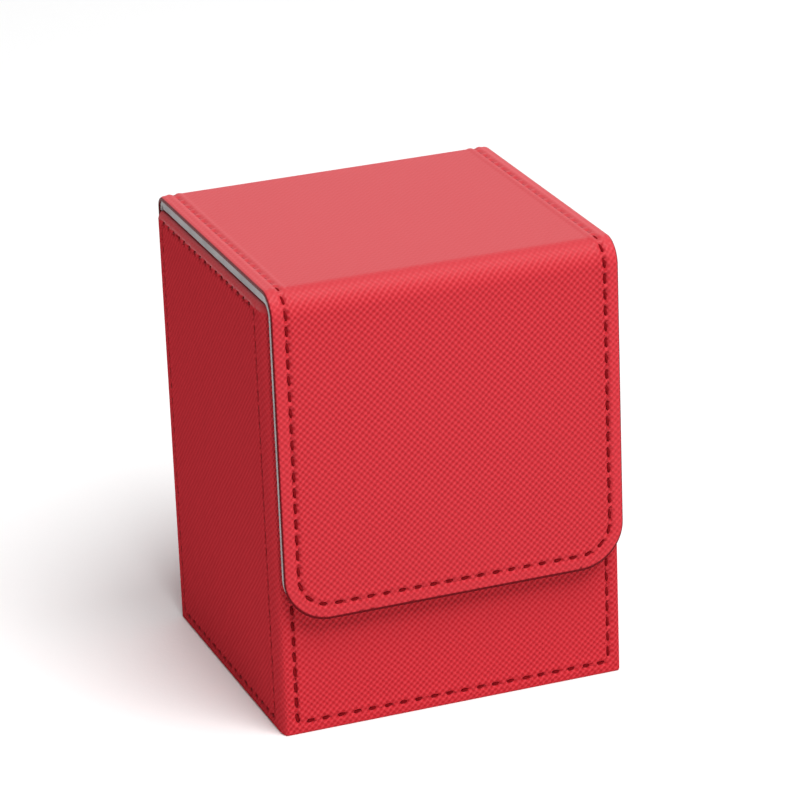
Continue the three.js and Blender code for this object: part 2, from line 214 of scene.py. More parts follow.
# The wrap's section, from the inner end of its foot, up the wall and over the rim: (depth, z)
def wall_section():
    flange = [REAR_CORNER_R + share * (WALL_T - INNER_RIM_R - REAR_CORNER_R) for share in
              (0, 0.25, 0.5, 0.75, 1)]
    turns = [QUARTER * i / WRAP_ROLL_STEPS for i in range(WRAP_ROLL_STEPS + 1)]
    foot = [(WALL_T, 0)] + [(depth, 0) for depth in reversed(flange)]
    foot += [(FOOT_R * (1 - math.sin(a)), FOOT_R * (1 - math.cos(a))) for a in turns]
    rim = [(REAR_CORNER_R * (1 - math.cos(a)) ** 0.75, RIM_START + RIM_RISE * math.sin(a))
           for a in turns]
    rim += [(depth, RIM_Z) for depth in flange[1:]]
    inner = WALL_T - INNER_RIM_R
    rim += [(inner + INNER_RIM_R * math.sin(a), RIM_Z - INNER_RIM_R * (1 - math.cos(a)))
            for a in turns[1:]]
    return foot, rim


# ---------------------------------------------------------------- seams


def ease(value, start, end):
    """0 before start, 1 after end, and smooth between them."""
    share = min(max((value - start) / (end - start), 0), 1)
    return share * share * (3 - 2 * share)


def stitch_length(direction):
    return STITCH_ACROSS + (STITCH_UP - STITCH_ACROSS) * math.sin(direction) ** 2


class Seam:
    """A ring of stitches on a flat sheet: straight runs, anticlockwise, and round corners."""

    def __init__(self, left, right, bottom, top, radii):
        self.box = (left, right, bottom, top)
        self.runs, self.length = [], 0.0
        corners = [(left, bottom), (right, bottom), (right, top), (left, top)]
        ways = [(1, 0), (0, 1), (-1, 0), (0, -1)]
        for i, (way, corner) in enumerate(zip(ways, corners)):
            after, inward = corners[(i + 1) % 4], (-way[1], way[0])
            r0, r1 = radii[i], radii[(i + 1) % 4]
            begin = (corner[0] + way[0] * r0, corner[1] + way[1] * r0)
            run = abs(after[0] - corner[0]) + abs(after[1] - corner[1]) - r0 - r1
            end = (begin[0] + way[0] * run, begin[1] + way[1] * run)
            centre = (end[0] + inward[0] * r1, end[1] + inward[1] * r1)
            self.runs.append((self.length, run, begin, way, inward, 0))
            self.length += run
            self.runs.append((self.length, r1 * QUARTER, centre, way, inward, r1))
            self.length += r1 * QUARTER
        self.count = round(self.length / STITCH_PITCH)
        self.pitch = self.length / self.count

    def near(self, u, v, reach):
        left, right, bottom, top = self.box
        if not (left - reach < u < right + reach and bottom - reach < v < top + reach):
            return False
        return min(abs(u - left), abs(u - right), abs(v - bottom), abs(v - top)) < 4 * reach

    def nearest(self, u, v):
        """How far a point is from the stitch line, how far along it, and which way it runs."""
        best, where, way_there = 1.0, 0.0, 0.0
        for before, run, place, way, inward, radius in self.runs:
            du, dv = u - place[0], v - place[1]
            ahead, across = du * way[0] + dv * way[1], du * inward[0] + dv * inward[1]
            turn = 0.0
            if radius:
                turn = math.atan2(ahead, -across)
                if not 0 <= turn <= QUARTER:
                    continue
                away, along = abs(math.hypot(ahead, across) - radius), turn * radius
            else:
                along = min(max(ahead, 0), run)
                away = math.hypot(ahead - along, across)
            if away < best:
                best, where, way_there = away, before + along, math.atan2(way[1], way[0]) + turn
        return best, where, way_there

    def at(self, along):
        """The place and the direction of the stitch line this far along it."""
        for before, run, place, way, inward, radius in self.runs:
            if along <= before + run:
                break
        along -= before
        if not radius:
            return (place[0] + way[0] * along, place[1] + way[1] * along), math.atan2(way[1], way[0])
        turn = along / radius
        ahead, across = radius * math.sin(turn), -radius * math.cos(turn)
        point = (place[0] + way[0] * ahead + inward[0] * across,
                 place[1] + way[1] * ahead + inward[1] * across)
        return point, math.atan2(way[1], way[0]) + turn

    def relief(self, u, v, depth=STITCH_DEPTH):
        """How the stitches shape the sheet: pulled in under each one, and swollen beside them."""
        if not self.near(u, v, PUFF_OUT + PUFF_HALF):
            return 0.0
        away, along, way = self.nearest(u, v)
        from_gap = abs((along / self.pitch + 0.5) % 1 - 0.5) * self.pitch
        gap = (self.pitch - stitch_length(way)) / 2
        pull = GAP_DEPTH + (depth - GAP_DEPTH) * ease(from_gap, gap - 0.2 * MM, gap + 0.35 * MM)
        from_crest = min(abs(away - PUFF_OUT) / PUFF_HALF, 1)
        swell = PUFF * (1 + math.cos(math.pi * from_crest)) / 2
        return swell - pull * math.exp(-((away / GROOVE_HALF) ** 2))


def thread_middle(node):
    """The box of a stitch line, half the CAD thread's width inside its node's box."""
    first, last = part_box(node)
    half = (high("lid_thread_left").x - low("lid_thread_left").x) / 2
    return first + Vector((half,) * 3), last - Vector((half,) * 3)


def strip_seam():
    first, last = thread_middle("flap_thread")
    foot = FOOT - thread_middle("back_thread")[0].z
    inner = FLAP_CORNER_R - (STRIP_HALF - last.x)
    return Seam(first.x, last.x, first.z - FLAP_BOTTOM, foot,
                [inner, inner, SEAM_CORNER_R, SEAM_CORNER_R])


def front_seam():
    first, last = thread_middle("front_thread")
    return Seam(first.x, last.x, first.z, last.z, [SEAM_CORNER_R] * 4)


def side_seam(side):
    first, last = thread_middle("left_thread")
    ends = [side * (SIDE_START + y - FRONT_Y - CORNER_Y) for y in (first.y, last.y)]
    return Seam(min(ends), max(ends), first.z, last.z, [SEAM_CORNER_R] * 4)


def tightness(s):
    """1 on the lid, where the strip is pulled tight over its board, and 0 on the flap and back."""
    return ease(s, FLAP_END, LID_START) - ease(s, LID_END, BACK_START)


def strip_depth(s):
    """The stitches sink less into the tight lid."""
    return STITCH_DEPTH * (1 - LID_SHALLOWER * tightness(s))


# ---------------------------------------------------------------- mesh tools


def finish_piece(name, shape, material, sharp=40):
    """Makes a bmesh into an object with one material, smooth-shaded but for its level faces."""
    bmesh.ops.recalc_face_normals(shape, faces=shape.faces)
    for face in shape.faces:
        face.smooth = face.calc_area() < LEVEL_AREA
    mesh = bpy.data.meshes.new(name)
    shape.to_mesh(mesh)
    shape.free()
    mesh.materials.append(material)
    mesh.set_sharp_from_angle(angle=math.radians(sharp))
    piece = bpy.data.objects.new(name, mesh)
    bpy.context.scene.collection.objects.link(piece)
    return piece


def grid(us, vs):
    """A flat sheet of four-sided cells whose lines stand at us across and at vs along."""
    sheet = bmesh.new()
    columns, rows = len(us) - 1, len(vs) - 1
    bmesh.ops.create_grid(sheet, x_segments=columns, y_segments=rows, size=1)
    for vert in sheet.verts:
        column = round((vert.co.x + 1) / 2 * columns)
        row = round((vert.co.y + 1) / 2 * rows)
        vert.co = (us[column], vs[row], 0)
    return sheet


def lines(start, end, step, close=()):
    """Where a grid's lines stand from start to end: even ones, and the closer ones asked for."""
    close = sorted(place for place in close if start < place < end)
    count = max(1, round((end - start) / step))
    even = [start + (end - start) * i / count for i in range(count + 1)]
    apart = [place for place in even[1:-1] if all(abs(place - c) > step * 0.45 for c in close)]
    inside = sorted([*close, *apart])
    inside = [place for place in inside if place - start > 0.02 * MM and end - place > 0.02 * MM]
    return [start, *inside, end]


def beside(*seams, offsets=BESIDE_SEAM):
    return [seam + way * offset for seam in seams for offset in offsets for way in (-1, 1)]


def mirrored(places):
    return [-place for place in reversed(places) if place > 0] + list(places)


def keep_flat_places(sheet):
    """Stores each point's place on the flat sheet as its UV, in metres, before it is bent."""
    layer = sheet.loops.layers.uv.new("flat")
    for face in sheet.faces:
        for loop in face.loops:
            loop[layer].uv = loop.vert.co.xy


def join_blank_cells(sheet):
    """Makes the cells of a level stretch into one face."""
    bmesh.ops.dissolve_limit(sheet, angle_limit=math.radians(0.02), verts=sheet.verts,
                             edges=sheet.edges, use_dissolve_boundaries=False)


# ---------------------------------------------------------------- pieces of the strip


def edge_offsets(roll, seam_in, corner):
    """Distances from a sewn edge at which lines stand, until the round corner ends."""
    turns = [QUARTER * i / ROLL_STEPS for i in range(ROLL_STEPS + 1)]
    rolled = [roll * (1 - math.cos(turn)) for turn in turns]
    return lines(0, corner, STEP, [*rolled[1:], *[p for p in beside(seam_in) if p > roll]])


def round_corner(u, v, radius):
    """Moves a point of a square corner into a round one. u and v are its distances from the two
    edges, and lines at one distance from the edge become arcs."""
    a, b = radius - u, radius - v
    if a <= 0 or b <= 0:
        return u, v
    reach = max(a, b)
    turn = math.pi / 4 * b / a if a >= b else QUARTER - math.pi / 4 * a / b
    return radius - reach * math.cos(turn), radius - reach * math.sin(turn)


def edge_distance(u, v, radius):
    """How far a point is from the nearer of two edges, joined by a round corner."""
    if u < radius and v < radius:
        return radius - math.hypot(radius - u, radius - v)
    return min(u, v)


def rolled(distance, width, drop):
    """Height of a rolled edge: level from `width` inwards, and `drop` lower at the very edge."""
    if distance >= width:
        return 0.0
    share = (width - max(distance, 0)) / width
    return -drop * (1 - (1 - share ** ROLL_POWER) ** (1 / ROLL_POWER))


class Strip:
    """One layer of the strip: its outline, the shape of its edges and the faces it lies between."""

    def __init__(self, half, start, end, corners, roll, drop, face, under, seam_share):
        self.half, self.start, self.end, self.corners = half, start, end, corners
        self.roll, self.drop, self.face, self.under = roll, drop, face, under
        self.seam_share = seam_share
        self.out = 1 if face > under else -1

    def squared(self, x, s):
        """Takes a grid point in one of the outline's square corners into its round corner."""
        u, v = self.half - abs(x), s - self.start
        flap_r, foot_r = self.corners
        if v < flap_r and u < flap_r:
            u, v = round_corner(u, v, flap_r)
            return math.copysign(self.half - u, x), self.start + v
        v = self.end - s
        if v < foot_r and u < foot_r:
            u, v = round_corner(u, v, foot_r)
            return math.copysign(self.half - u, x), self.end - v
        return x, s

    def edge(self, x, s):
        """How far a place is from the outline."""
        u, (flap_r, foot_r) = self.half - abs(x), self.corners
        return min(edge_distance(u, s - self.start, flap_r), edge_distance(u, self.end - s, foot_r))

    def height(self, x, s):
        relief = rolled(self.edge(x, s), self.roll, self.drop)
        relief += STRIP_SEAM.relief(x, s, self.seam_share * strip_depth(s))
        return self.face + self.out * relief

    def piece(self, xs, ss, level=True):
        """A closed solid of this layer over the grid, laid flat, with x, s and n as coordinates.
        Its attribute "border" is 1 outside the seam, where the sewing machine's foot pressed and where a
        painted highlight makes the sheet paler; a second attribute is 1 on the cut edge, where a band of
        painted shade darkens it."""
        sheet = grid(xs, ss)
        border = sheet.verts.layers.float.new("border")
        painted_edge_shade = sheet.verts.layers.float.new("painted_edge_shade")
        for vert in sheet.verts:
            x, s = self.squared(vert.co.x, vert.co.y)
            from_edge = self.edge(x, s)
            vert[border] = 1 - ease(from_edge, SEAM_IN - 0.9 * MM, SEAM_IN - 0.3 * MM)
            # a band of painted shade on the cut edge, widest at the flap's end
            edge_shade_width = EDGE_SHADE_SIDE + (EDGE_SHADE_END - EDGE_SHADE_SIDE) * (1 - ease(s, 0, FLAP_CORNER_R))
            vert[painted_edge_shade] = 1 - ease(from_edge, edge_shade_width - 0.2 * MM, edge_shade_width)
            vert.co = (x, s, self.height(x, s))
        if level:
            join_blank_cells(sheet)
        self.close(sheet, ss[0], ss[-1])
        keep_flat_places(sheet)
        return sheet

    def close(self, sheet, first, last):
        """Fills in the underside, between the rolled edges, and the two cut ends."""
        rim = [edge for edge in sheet.edges if edge.is_boundary]
        cuts = [s for s in (first, last) if self.start < s < self.end]

        def is_cut(edge):
            return any(all(abs(v.co.y - s) < 1e-7 for v in edge.verts) for s in cuts)

        rolled_edges = [edge for edge in rim if not is_cut(edge)]
        wall = bmesh.ops.extrude_edge_only(sheet, edges=rolled_edges)["geom"]
        for vert in (v for v in wall if isinstance(v, bmesh.types.BMVert)):
            vert.co.z = self.under
        bmesh.ops.remove_doubles(sheet, verts=sheet.verts, dist=0.001 * MM)
        low_edges = [edge for edge in sheet.edges if edge.is_boundary and not is_cut(edge)]
        if len(cuts) == 2:
            bmesh.ops.bridge_loops(sheet, edges=low_edges)
        else:
            corners = [v for v in sheet.verts if abs(v.co.y - cuts[0]) < 1e-7
                       and abs(abs(v.co.x) - self.half) < 1e-7 and abs(v.co.z - self.under) < 1e-7]
            low_edges.append(sheet.edges.new(corners))
            bmesh.ops.contextual_create(sheet, geom=low_edges)
        open_ends = [edge for edge in sheet.edges if edge.is_boundary]
        bmesh.ops.holes_fill(sheet, edges=open_ends, sides=0)


def bend_strip(sheet):
    for vert in sheet.verts:
        vert.co = on_strip(*vert.co)
    return sheet


STRIP_SEAM = strip_seam()
SEAM_IN = STRIP_HALF - STRIP_SEAM.box[1]
LEATHER = Strip(STRIP_HALF, 0, FOOT, (FLAP_CORNER_R, FOOT_CORNER_R), ROLL_IN, ROLL_DROP, 0,
                -COVER_T, 1.0)
LINER = Strip(LINER_HALF, LINER_INSET, FOOT, (FLAP_CORNER_R - LINER_INSET, FOOT_CORNER_R),
              LINER_ROLL, LINER_ROLL, -LINER_IN, -LINER_OUT, 0.5)


def across(layer, step):
    """Lines across the strip, from edge to edge."""
    seam_in = SEAM_IN - (STRIP_HALF - layer.half)
    corner = layer.corners[0]
    offsets = edge_offsets(layer.roll, seam_in, corner)
    half = [layer.half - offset for offset in reversed(offsets)]
    inside = lines(0, half[0], step)
    return mirrored([*inside[:-1], *half])


def lid_lines(layer):
    """Lines across a piece that no seam crosses."""
    seam_in = SEAM_IN - (STRIP_HALF - layer.half)
    turns = [QUARTER * i / ROLL_STEPS for i in range(ROLL_STEPS + 1)]
    offsets = [layer.roll * (1 - math.cos(turn)) for turn in turns]
    offsets += [p for p in beside(seam_in) if p > layer.roll + 0.05 * MM]
    half = sorted({round(layer.half - offset, 8) for offset in offsets})
    inside = lines(0, half[0], BLANK_STEP)
    return mirrored([*inside[:-1], *half])


# ---------------------------------------------------------------- materials


def srgb(code):
    """A linear colour from its sRGB hex code."""
    parts = [int(code[i:i + 2], 16) / 255 for i in (1, 3, 5)]
    return (*[p / 12.92 if p <= 0.04045 else ((p + 0.055) / 1.055) ** 2.4 for p in parts], 1)


def add(tree, kind, links=None, **settings):
    """Adds a node, gives it its settings, and fills or links its inputs."""
    made = tree.nodes.new("ShaderNode" + kind)
    for name, value in settings.items():
        setattr(made, name, value)
    for key, value in (links or {}).items():
        if isinstance(value, bpy.types.NodeSocket):
            tree.links.new(value, made.inputs[key])
        else:
            made.inputs[key].default_value = value
    return made


def new_material(name):
    material = bpy.data.materials.new(name)
    material.use_nodes = True
    material.node_tree.nodes.clear()
    return material, material.node_tree


def shade(tree, **inputs):
    """The surface shader and the output. Underscores in the input names stand for spaces."""
    links = {name.replace("_", " "): value for name, value in inputs.items()}
    shader = add(tree, "BsdfPrincipled", links)
    add(tree, "OutputMaterial", {"Surface": shader.outputs["BSDF"]})


GRAIN_PITCH = 1.0 * MM
GRAIN_DEPTH = 0.24 * MM
ROW_WAVE, CROSS_WAVE = 0.31, 0.19  # heights of the two waves that make the cross-hatch
GRAIN_LEFT = 0.1  # share of the grain that is left where it is pressed smooth
SIDE_PRESSED = 0.62  # how far it is pressed on the tray's sides, where 1 is smooth
BORDER_PRESSED = 0.2  # and outside the strip's seam
# share of the painted highlight that makes the border outside the seam paler, where the puffed sheet
# catches the light
BORDER_PAINTED_HIGHLIGHT = 0.16
PORE = 0.25 * MM


def span(tree, value, start, end, most=1.0):
    """0 before start, `most` after end, and smooth between them."""
    return add(tree, "MapRange", {0: value, 1: start, 2: end, 3: 0.0, 4: most},
               interpolation_type="SMOOTHSTEP").outputs[0]


def tight_and_smooth(tree, flat, on_the_strip):
    """Where the sheet is pulled tight, and where its grain is pressed smooth, each from 0 to 1."""
    axes = add(tree, "SeparateXYZ", {0: flat}).outputs
    if on_the_strip:
        front = span(tree, axes["Y"], FLAP_END, LID_START)
        rear = span(tree, axes["Y"], LID_END, BACK_START)
        tight = add(tree, "Math", {0: front, 1: rear}, operation="SUBTRACT").outputs[0]
        return tight, tight
    tight = span(tree, axes["Y"], RIM_START + 0.1 * MM, RIM_START + 0.7 * MM)
    round_way = add(tree, "Math", {0: axes["X"]}, operation="ABSOLUTE").outputs[0]
    pressed = span(tree, round_way, FRONT_RUN - 0.5 * MM, FRONT_RUN + 1.5 * MM, SIDE_PRESSED)
    return tight, add(tree, "Math", {0: tight, 1: pressed}, operation="MAXIMUM").outputs[0]


def leatherette(name, on_the_strip):
    """Polyurethane leatherette, calendered on cloth and embossed with a cross-hatch of small round bumps
    at 45 degrees. Its skin is satin, its bumps catch the light, and the pits look darker; the tint adds
    painted shade in the pits and painted light on the bumps.
    The lid and the rim are stretched tight, and the grain there is pressed almost smooth. It is more than
    half flat on the tray's sides. Outside the strip's seam it is flatter, and a painted highlight makes it
    a little paler; the cut edge is darkened with painted shade."""
    material, tree = new_material(name)
    flat = add(tree, "UVMap", uv_map="flat").outputs["UV"]
    place = add(tree, "TexCoord").outputs["Object"]
    drift = add(tree, "TexNoise", {"Vector": place, "Scale": 1 / (6 * MM), "Detail": 2.0})
    pushed = add(tree, "VectorMath", {0: drift.outputs["Color"], 1: (0.5, 0.5, 0.5)},
                 operation="SUBTRACT")
    pushed = add(tree, "VectorMath", {0: pushed.outputs[0], "Scale": 0.5 * MM}, operation="SCALE")
    wavy = add(tree, "VectorMath", {0: flat, 1: pushed.outputs[0]}, operation="ADD")
    turned = add(tree, "Mapping", {"Vector": wavy.outputs[0], "Rotation": (0, 0, QUARTER / 2),
                                   "Scale": (2 * math.pi / GRAIN_PITCH,) * 3})
    axes = add(tree, "SeparateXYZ", {0: turned.outputs[0]})
    rows = add(tree, "Math", {0: axes.outputs["X"]}, operation="COSINE")
    cross = add(tree, "Math", {0: axes.outputs["Y"]}, operation="COSINE")
    rows = add(tree, "Math", {0: rows.outputs[0], 1: ROW_WAVE, 2: 0.5}, operation="MULTIPLY_ADD")
    grain = add(tree, "Math", {0: cross.outputs[0], 1: CROSS_WAVE, 2: rows.outputs[0]},
                operation="MULTIPLY_ADD").outputs[0]
    tight, smooth = tight_and_smooth(tree, flat, on_the_strip)
    border = add(tree, "Attribute", attribute_name="border").outputs["Fac"]
    trodden = add(tree, "Math", {0: border, 1: BORDER_PRESSED}, operation="MULTIPLY").outputs[0]
    smooth = add(tree, "Math", {0: smooth, 1: trodden}, operation="MAXIMUM").outputs[0]
    share = add(tree, "MapRange", {0: smooth, 3: 1.0, 4: GRAIN_LEFT})
    level = add(tree, "Math", {0: grain, 1: 0.5}, operation="SUBTRACT")
    grain = add(tree, "Math", {0: level.outputs[0], 1: share.outputs[0], 2: 0.5},
                operation="MULTIPLY_ADD").outputs[0]
    pores = add(tree, "TexNoise", {"Vector": place, "Scale": 1 / PORE, "Detail": 3.0,
                                   "Roughness": 0.6}).outputs["Fac"]
    height = add(tree, "Math", {0: pores, 1: 0.12, 2: grain}, operation="MULTIPLY_ADD")
    bump = add(tree, "Bump", {"Height": height.outputs[0], "Distance": GRAIN_DEPTH,
                              "Strength": 1.0})
    # the grain's tint is darker in the pits and lighter on the bumps: painted shade and painted light,
    # added to the bump's own shading
    tint = add(tree, "ValToRGB", {0: grain})
    tint.color_ramp.elements[0].position = 0.12
    tint.color_ramp.elements[0].color = srgb("#b3232b")
    tint.color_ramp.elements[1].position = 0.85
    tint.color_ramp.elements[1].color = srgb("#d23d46")
    cloud = add(tree, "TexNoise", {"Vector": place, "Scale": 1 / (22 * MM), "Detail": 3.0})
    worn = add(tree, "MapRange", {0: cloud.outputs["Fac"], 1: 0.35, 2: 0.7, 3: 0.0, 4: 0.14})
    colour = add(tree, "Mix", {0: worn.outputs[0], 6: tint.outputs[0], 7: srgb("#c8353d")},
                 data_type="RGBA")
    # outside the seam the colour is mixed paler: a painted highlight on the puffed border
    painted_highlight = add(tree, "Math", {0: border, 1: BORDER_PAINTED_HIGHLIGHT}, operation="MULTIPLY").outputs[0]
    colour = add(tree, "Mix", {0: painted_highlight, 6: colour.outputs[2], 7: srgb("#e04650")},
                 data_type="RGBA")
    # the cut edge is mixed dark: painted shade, widest along the flap's end
    painted_edge_shade = add(tree, "Attribute", attribute_name="painted_edge_shade").outputs["Fac"]
    colour = add(tree, "Mix", {0: painted_edge_shade, 6: colour.outputs[2], 7: srgb("#6a0e16")},
                 data_type="RGBA")
    rough = add(tree, "MapRange", {0: height.outputs[0], 1: 0.2, 2: 1.0, 3: 0.58, 4: 0.46})
    gloss = add(tree, "MapRange", {0: tight, 3: 0.04 if on_the_strip else 0.0, 4: 0.5})
    shade(tree, Base_Color=colour.outputs[2], Roughness=rough.outputs[0], IOR=1.46,
          Specular_IOR_Level=gloss.outputs[0], Normal=bump.outputs[0])
    return material


def microsuede():
    """Warp-knitted polyester microsuede, sanded to a short nap. It is matt, it clouds where the nap
    lies different ways, and its edges glow a little."""
    material, tree = new_material("microsuede_sanded")
    place = add(tree, "TexCoord").outputs["Object"]
    nap = add(tree, "TexNoise", {"Vector": place, "Scale": 1 / (0.22 * MM), "Detail": 4.0,
                                 "Roughness": 0.65}).outputs["Fac"]
    clouds = add(tree, "TexNoise", {"Vector": place, "Scale": 1 / (9 * MM), "Detail": 4.0,
                                    "Roughness": 0.6}).outputs["Fac"]
    mixed = add(tree, "Math", {0: nap, 1: 0.55, 2: clouds}, operation="MULTIPLY_ADD")
    tint = add(tree, "ValToRGB", {0: mixed.outputs[0]})
    tint.color_ramp.elements[0].position = 0.45
    tint.color_ramp.elements[0].color = srgb("#989698")
    tint.color_ramp.elements[1].position = 1.0
    tint.color_ramp.elements[1].color = srgb("#c0bebf")
    bump = add(tree, "Bump", {"Height": nap, "Distance": 0.09 * MM, "Strength": 0.9})
    shade(tree, Base_Color=tint.outputs[0], Roughness=0.95, IOR=1.45, Normal=bump.outputs[0],
          Sheen_Weight=0.35, Sheen_Roughness=0.55)
    return material


def sewing_thread(name, dark, light, gloss):
    """Twisted polyester sewing thread, dyed dark red. Its plies show as slanting ridges, with painted
    shade between them. It comes in two copies: a darker one with painted shade for the seams in shaded
    grooves, and a lighter one with painted light for the top-lit lid and rear bend, where it is pulled
    tight, its filaments lie flat and it shines."""
    material, tree = new_material(name)
    turn = add(tree, "UVMap", uv_map="ply").outputs["UV"]
    axes = add(tree, "SeparateXYZ", {0: turn})
    twist = add(tree, "Math", {0: axes.outputs["Y"], 1: 5.0, 2: axes.outputs["X"]},
                operation="MULTIPLY_ADD")
    plies = add(tree, "Math", {0: twist.outputs[0], 1: 6 * math.pi}, operation="MULTIPLY")
    ridge = add(tree, "Math", {0: plies.outputs[0]}, operation="SINE")
    height = add(tree, "Math", {0: ridge.outputs[0], 1: 0.5, 2: 0.5}, operation="MULTIPLY_ADD")
    # ply tint: the darker colour in the hollows between plies and the lighter on the ridges, painted shade
    tint = add(tree, "ValToRGB", {0: height.outputs[0]})
    tint.color_ramp.elements[0].color = srgb(dark)
    tint.color_ramp.elements[1].color = srgb(light)
    bump = add(tree, "Bump", {"Height": height.outputs[0], "Distance": 0.06 * MM,
                              "Strength": 1.0})
    shade(tree, Base_Color=tint.outputs[0], Roughness=0.6, IOR=1.5, Specular_IOR_Level=gloss,
          Normal=bump.outputs[0])
    return material


def greyboard():
    """Recycled greyboard, pressed in sheets: dull, with pale and dark fibres."""
    material, tree = new_material("greyboard_pressed")
    place = add(tree, "TexCoord").outputs["Object"]
    fibres = add(tree, "TexNoise", {"Vector": place, "Scale": 1 / (0.6 * MM), "Detail": 5.0,
                                    "Roughness": 0.7}).outputs["Fac"]
    tint = add(tree, "ValToRGB", {0: fibres})
    tint.color_ramp.elements[0].position = 0.3
    tint.color_ramp.elements[0].color = srgb("#6f6a62")
    tint.color_ramp.elements[1].position = 0.7
    tint.color_ramp.elements[1].color = srgb("#9c968b")
    bump = add(tree, "Bump", {"Height": fibres, "Distance": 0.05 * MM})
    shade(tree, Base_Color=tint.outputs[0], Roughness=0.9, IOR=1.5, Normal=bump.outputs[0])
    return material


def nickel_plate():
    """Nickel plating on a sintered magnet, tumbled: bright metal with a fine satin haze."""
    material, tree = new_material("nickel_plated_magnet")
    place = add(tree, "TexCoord").outputs["Object"]
    haze = add(tree, "TexNoise", {"Vector": place, "Scale": 1 / (0.8 * MM), "Detail": 4.0})
    rough = add(tree, "MapRange", {0: haze.outputs["Fac"], 3: 0.22, 4: 0.4})
    shade(tree, Base_Color=srgb("#c4c0b6"), Metallic=1.0, Roughness=rough.outputs[0])
    return material


STRIP_SKIN = leatherette("leatherette_embossed_strip", True)
WRAP_SKIN = leatherette("leatherette_embossed_wrap", False)
SUEDE = microsuede()
# two copies of one thread: the darker one is painted shade for seams in shaded grooves, the lighter tight
# one is painted light for the top-lit lid and rear bend
THREAD_PAINTED_SHADE = sewing_thread("polyester_thread_twisted_painted_shade", "#66060c", "#960e18", 0.06)
TIGHT_THREAD_PAINTED_LIGHT = sewing_thread("polyester_thread_pulled_tight_painted_light", "#9c2430", "#b83642", 0.5)


# ---------------------------------------------------------------- stitches


def stitch(shape, point, direction, lift, place, out=1):
    """Adds one stitch: a length of thread, pointed where it dives into its holes."""
    slant = Matrix.Rotation(direction + out * STITCH_SLANT, 4, "Z")
    laid = slant @ Matrix.Rotation(QUARTER, 4, "Y")
    half = stitch_length(direction) / 2
    made = bmesh.ops.create_uvsphere(shape, u_segments=10, v_segments=8, radius=1, calc_uvs=True)
    for vert in made["verts"]:
        along = vert.co.z
        sag = 0.25 * MM * along ** 4
        local = laid @ Vector((vert.co.x * THREAD_W / 2, vert.co.y * THREAD_W / 2, along * half))
        vert.co = place(point[0] + local.x, point[1] + local.y, lift + out * (local.z - sag))


def stitches(name, seam, place, chosen, body, *nodes, thread=THREAD_PAINTED_SHADE, lift=THREAD_LIFT,
             inner_lift=None):
    """The stitches of one seam that `chosen` picks by their middle, and their undersides where there is an
    inner lift. `body` is what they ride on; where it is not a name it is not used, and the stitches are
    baked where they stand."""
    shape = bmesh.new()
    shape.loops.layers.uv.new("ply")
    for i in range(seam.count):
        point, direction = seam.at((i + 0.5) * seam.pitch)
        if chosen(*point):
            stitch(shape, point, direction, lift, place)
            if inner_lift is not None:
                stitch(shape, point, direction, inner_lift, place, -1)
    piece = finish_piece(name, shape, thread, 180)
    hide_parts(*nodes)
    if isinstance(body, str):
        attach(piece, body)
    else:
        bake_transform(piece)
    return piece


# ---------------------------------------------------------------- building


def bend_points(axis, radius, start, n):
    """The two ends of a bend, at the depth n of the strip."""
    return on_strip(0, start, n), on_strip(0, start + radius * QUARTER, n)


def strip_pieces():
    wide, narrow = across(LEATHER, STEP), lid_lines(LEATHER)
    flap_rows = lines(0, FLAP_END - FLAT_RUN, STEP,
                      edge_offsets(ROLL_IN, STRIP_SEAM.box[2], FLAP_CORNER_R))
    foot_in = FOOT - STRIP_SEAM.box[3]
    foot_rows = [FOOT - offset for offset in edge_offsets(ROLL_IN, foot_in, FLAP_CORNER_R)]
    rows = {
        "flap_cover": (wide, flap_rows, True),
        "front_hinge_cover": (narrow, lines(FLAP_END - FLAT_RUN, LID_START + FLAT_RUN, BEND_STEP,
                                            [FLAP_END, LID_START]), False),
        "lid_cover": (narrow, lines(LID_START + FLAT_RUN, LID_END - FLAT_RUN, STEP), False),
        "rear_hinge_cover": (narrow, lines(LID_END - FLAT_RUN, BACK_START + FLAT_RUN, BEND_STEP,
                                           [LID_END, BACK_START]), False),
        "back_cover": (wide, lines(BACK_START + FLAT_RUN, FOOT, STEP, foot_rows), True),
    }
    bodies = {"flap_cover": "flap", "lid_cover": "lid", "back_cover": "box"}
    for name, (xs, ss, level) in rows.items():
        shape = bend_strip(LEATHER.piece(xs, ss, level))
        piece = finish_piece(name + "_leatherette", shape, STRIP_SKIN)
        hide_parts(name)
        if name in bodies:
            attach(piece, bodies[name])
        elif name == "front_hinge_cover":
            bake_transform(piece)
        else:
            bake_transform(piece)


def liner_pieces():
    wide, narrow = across(LINER, STEP), lid_lines(LINER)
    corner = FLAP_CORNER_R - LINER_INSET
    flap_rows = [LINER_INSET + offset
                 for offset in edge_offsets(LINER.roll, STRIP_SEAM.box[2] - LINER_INSET, corner)]
    rows = {
        "flap_lining": (wide, lines(LINER_INSET, FLAP_END - FLAT_RUN, STEP, flap_rows), True),
        "front_hinge_lining": (narrow, lines(FLAP_END - FLAT_RUN, LID_START + FLAT_RUN, BEND_STEP,
                                             [FLAP_END, LID_START]), False),
        "lid_lining": (narrow, lines(LID_START + FLAT_RUN, LID_END, STEP), True),
    }
    bodies = {"flap_lining": "flap", "lid_lining": "lid"}
    for name, (xs, ss, level) in rows.items():
        shape = LINER.piece(xs, ss, level)
        piece = finish_piece(name + "_suede", bend_strip(shape), SUEDE)
        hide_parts(name)
        if name in bodies:
            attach(piece, bodies[name])
        else:
            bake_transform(piece)


